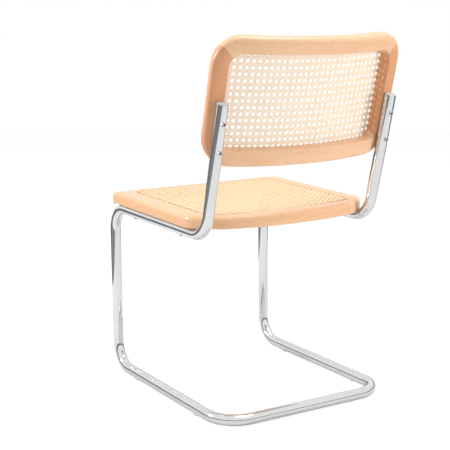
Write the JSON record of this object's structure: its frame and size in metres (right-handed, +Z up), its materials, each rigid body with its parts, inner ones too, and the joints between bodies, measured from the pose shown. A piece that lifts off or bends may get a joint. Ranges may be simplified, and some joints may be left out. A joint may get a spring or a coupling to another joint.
{
  "type": "dining chair",
  "caption": "Cantilever dining chair: one bent chromed tube carries a caned beech seat and a curved, caned back.",
  "frame": {"origin": "on the floor, under the middle of the bounding box", "axes": "+Z up; the sitter faces -Y, so the front of the seat is towards -Y; +X is the sitter's left"},
  "size_m": [0.4674, 0.5714, 0.8198],
  "materials": {
    "chromed_tube": "polished chrome plate",
    "beech": "satin lacquered beech, peach-tan",
    "tenon_beech": "raw beech",
    "cane": "woven cane, pale straw",
    "reed": "split reed",
    "screw_steel": "zinc-plated steel",
    "plug_plastic": "pale translucent polyethylene",
    "glide_plastic": "clear plastic"
  },
  "bodies": {
    "root": {"frame_tube": "chromed_tube", "seat_front_rail": "beech", "seat_rear_rail": "beech", "seat_left_rail": "beech", "seat_right_rail": "beech", "back_top_rail": "beech", "back_bottom_rail": "beech", "back_left_stile": "beech", "back_right_stile": "beech", "seat_tenon_low_left": "tenon_beech", "seat_tenon_low_right": "tenon_beech", "seat_tenon_high_left": "tenon_beech", "seat_tenon_high_right": "tenon_beech", "back_tenon_low_left": "tenon_beech", "back_tenon_low_right": "tenon_beech", "back_tenon_high_left": "tenon_beech", "back_tenon_high_right": "tenon_beech", "seat_cane": "cane", "back_cane": "cane", "seat_spline": "reed", "back_spline": "reed", "seat_screw_front_left": "screw_steel", "seat_screw_front_right": "screw_steel", "seat_screw_rear_left": "screw_steel", "seat_screw_rear_right": "screw_steel", "back_screw_lower_left": "screw_steel", "back_screw_lower_right": "screw_steel", "back_screw_upper_left": "screw_steel", "back_screw_upper_right": "screw_steel", "tube_plug_left": "plug_plastic", "tube_plug_right": "plug_plastic", "floor_glide_front_left": "glide_plastic", "floor_glide_front_right": "glide_plastic", "floor_glide_rear_left": "glide_plastic", "floor_glide_rear_right": "glide_plastic"}
  },
  "joints": []
}
